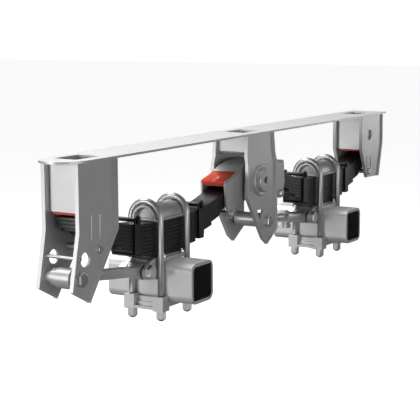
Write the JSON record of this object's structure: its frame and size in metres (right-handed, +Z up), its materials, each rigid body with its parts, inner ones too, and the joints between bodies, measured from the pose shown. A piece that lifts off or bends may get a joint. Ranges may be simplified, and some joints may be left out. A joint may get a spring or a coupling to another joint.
{
  "type": "tandem axle leaf spring suspension",
  "caption": "Mechanical suspension for one side of a trailer: leaf springs in slipper hangers, a pivoting equalizer, torque arms and U-bolted square axle tubes.",
  "frame": {"origin": "on the upper face of the top plate, on the centre plane of the springs and midway between the two axle lines", "axes": "+X runs along the vehicle towards the rear, +Y across it, away from the side where the pivot and bolts show their heads, +Z up, out of the mounting face"},
  "size_m": [2.538, 0.365, 0.6356],
  "materials": {
    "hanger_paint": "silver-grey satin paint on pressed sheet steel",
    "cast_paint": "silver-grey paint on cast steel",
    "axle_paint": "silver-grey satin paint on square tube",
    "arm_paint": "silver-grey satin paint on forged and welded steel",
    "plated_rod": "bright zinc plating",
    "plated_fastener": "zinc plating",
    "machined_steel": "turned steel",
    "spring_black": "glossy black enamel on spring steel",
    "wear_pad": "red paint on a hardened steel wear pad",
    "bush_rubber": "matt black rubber"
  },
  "bodies": {
    "frame": {"top_plate": "hanger_paint", "front_hanger_near_plate": "hanger_paint", "front_hanger_far_plate": "hanger_paint", "front_hanger_box": "hanger_paint", "front_hanger_wear_pad": "wear_pad", "front_keeper_bolt": "plated_fastener", "rear_hanger_near_plate": "hanger_paint", "rear_hanger_far_plate": "hanger_paint", "rear_hanger_box": "hanger_paint", "rear_hanger_wear_pad": "wear_pad", "rear_keeper_bolt": "plated_fastener", "front_hanger_tie_rod": "plated_fastener", "front_arm_hanger_bolt": "plated_fastener", "rear_arm_hanger_bolt": "plated_fastener", "centre_hanger_near_plate": "hanger_paint", "centre_hanger_far_plate": "hanger_paint", "centre_hanger_box": "hanger_paint", "pivot_shaft": "machined_steel"},
    "equalizer": {"equalizer_near_side": "arm_paint", "equalizer_far_side": "arm_paint", "equalizer_cover": "arm_paint", "equalizer_hub": "arm_paint", "equalizer_bush": "bush_rubber", "equalizer_front_pad": "wear_pad", "equalizer_rear_pad": "wear_pad", "equalizer_front_keeper_bolt": "plated_fastener", "equalizer_rear_keeper_bolt": "plated_fastener"},
    "front_arm": {"front_torque_arm": "arm_paint", "front_torque_arm_front_bush": "bush_rubber", "front_torque_arm_rear_bush": "bush_rubber"},
    "front_axle": {"front_main_leaf": "spring_black", "front_leaf_stack": "spring_black", "front_centre_bolt": "spring_black", "front_spring_front_clip": "spring_black", "front_spring_rear_clip": "spring_black", "front_top_pad": "cast_paint", "front_u_bolt_front": "plated_rod", "front_u_bolt_rear": "plated_rod", "front_clamp_plate": "cast_paint", "front_spring_seat": "cast_paint", "front_arm_bolt": "plated_fastener", "front_axle_tube": "axle_paint"},
    "rear_arm": {"rear_torque_arm_rod": "arm_paint", "rear_torque_arm_front_bush": "bush_rubber"},
    "rear_arm_end": {"rear_torque_arm_socket": "arm_paint", "rear_torque_arm_rear_bush": "bush_rubber", "rear_torque_arm_clamp": "cast_paint"},
    "rear_axle": {"rear_main_leaf": "spring_black", "rear_leaf_stack": "spring_black", "rear_centre_bolt": "spring_black", "rear_spring_front_clip": "spring_black", "rear_spring_rear_clip": "spring_black", "rear_top_pad": "cast_paint", "rear_u_bolt_front": "plated_rod", "rear_u_bolt_rear": "plated_rod", "rear_clamp_plate": "cast_paint", "rear_spring_seat": "cast_paint", "rear_arm_bolt": "plated_fastener", "rear_axle_tube": "axle_paint"}
  },
  "joints": [
    {"name": "equalizer_pivot", "type": "hinge", "parent": "frame", "child": "equalizer", "pos_m": [-0.02, 0, -0.198], "axis": [0, 1, 0], "range_deg": [-8, 8]},
    {"name": "front_arm_swing", "type": "hinge", "parent": "frame", "child": "front_arm", "pos_m": [-1.235, 0, -0.392], "axis": [0, 1, 0], "range_deg": [-2, 2], "stiffness_Nm_per_rad": 4000, "springref_deg": -9.45},
    {"name": "front_axle_pitch", "type": "hinge", "parent": "front_arm", "child": "front_axle", "pos_m": [-0.8, 0, -0.445], "axis": [0, 1, 0], "range_deg": [-1, 1], "stiffness_Nm_per_rad": 1000, "springref_deg": -8.91},
    {"name": "rear_arm_swing", "type": "hinge", "parent": "frame", "child": "rear_arm", "pos_m": [0.034, 0, -0.372], "axis": [0, 1, 0], "range_deg": [-3, 3], "stiffness_Nm_per_rad": 4000, "springref_deg": -10.34},
    {"name": "rear_arm_length", "type": "slide", "parent": "rear_arm", "child": "rear_arm_end", "axis": [0.9942, 0, -0.1076], "range_m": [-0.005, 0.005]},
    {"name": "rear_axle_pitch", "type": "hinge", "parent": "rear_arm_end", "child": "rear_axle", "pos_m": [0.51, 0, -0.4245], "axis": [0, 1, 0], "range_deg": [-5, 5], "stiffness_Nm_per_rad": 1000, "springref_deg": -9.58}
  ],
  "couplings": [
    {"joint": "front_arm_swing", "follows": "equalizer_pivot", "ratio": -0.1535},
    {"joint": "front_axle_pitch", "follows": "equalizer_pivot", "ratio": -0.0212},
    {"joint": "rear_arm_swing", "follows": "equalizer_pivot", "ratio": 0.2249},
    {"joint": "rear_axle_pitch", "follows": "equalizer_pivot", "ratio": -0.381}
  ]
}
